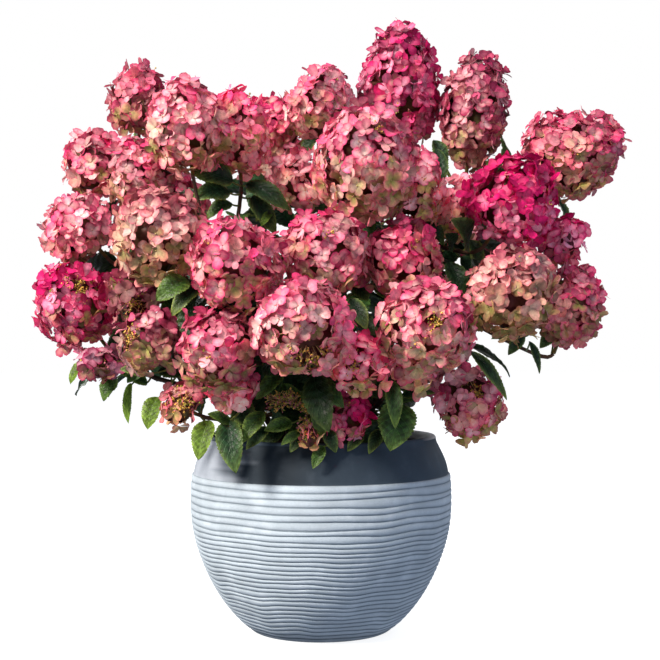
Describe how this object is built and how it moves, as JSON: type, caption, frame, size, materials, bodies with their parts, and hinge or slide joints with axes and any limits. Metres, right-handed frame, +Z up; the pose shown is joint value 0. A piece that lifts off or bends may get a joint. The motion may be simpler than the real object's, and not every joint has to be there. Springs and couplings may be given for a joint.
{
  "type": "potted hydrangea",
  "caption": "Panicle hydrangea shrub with domed and conical pink flower heads and toothed green leaves, growing in a round ribbed blue-grey planter.",
  "frame": {"origin": "middle of the pot's foot, on the surface that the pot stands on", "axes": "+Z up, -Y towards the front of the plant, +X to the right as seen from the front"},
  "size_m": [0.8514, 0.6376, 0.9078],
  "materials": {
    "pot": "matt, dusty blue-grey",
    "potting_mix": "crumbly dark bark and peat",
    "foliage": "green leaves on brown woody stems",
    "petals_pale": "soft petals, pale",
    "petals_rose": "soft petals, rose",
    "petals_magenta": "soft petals, magenta",
    "petals_dusky": "soft petals, dusky",
    "petals_green": "soft petals, green"
  },
  "bodies": {
    "root": {"pot": "pot", "potting_mix": "potting_mix", "cane_01": "foliage", "cane_02": "foliage", "cane_03": "foliage", "cane_04": "foliage", "cane_05": "foliage", "cane_06": "foliage", "cane_07": "foliage", "cane_08": "foliage", "cane_09": "foliage", "cane_10": "foliage", "cane_11": "foliage", "bloom_01": "petals_rose", "bloom_02": "petals_pale", "bloom_03": "petals_rose", "bloom_04": "petals_rose", "bloom_05": "petals_rose", "bloom_06": "petals_rose", "bloom_07": "petals_pale", "bloom_08": "petals_green", "bloom_09": "petals_magenta", "bloom_10": "petals_rose", "bloom_11": "petals_pale", "bloom_12": "petals_magenta", "bloom_13": "petals_dusky", "bloom_14": "petals_pale", "bloom_15": "petals_dusky", "bloom_16": "petals_rose", "bloom_17": "petals_magenta", "bloom_18": "petals_magenta", "bloom_19": "petals_green", "bloom_20": "petals_rose", "bloom_21": "petals_pale", "bloom_22": "petals_pale", "bloom_23": "petals_rose", "bloom_24": "petals_rose", "bloom_25": "petals_rose", "bloom_26": "petals_dusky", "bloom_27": "petals_dusky", "bloom_28": "petals_rose", "bloom_29": "petals_dusky", "bloom_30": "petals_magenta", "bloom_31": "petals_dusky", "bloom_32": "petals_green", "bloom_33": "petals_pale", "bloom_34": "petals_dusky", "bloom_35": "petals_dusky", "bloom_36": "petals_magenta", "bloom_37": "petals_green", "bloom_38": "petals_rose", "bloom_39": "petals_pale", "bloom_40": "petals_rose", "bloom_41": "petals_magenta", "bloom_42": "petals_rose", "bloom_43": "petals_pale", "bloom_44": "petals_rose", "bloom_45": "petals_pale", "bloom_46": "petals_magenta", "bloom_47": "petals_dusky"}
  },
  "joints": []
}
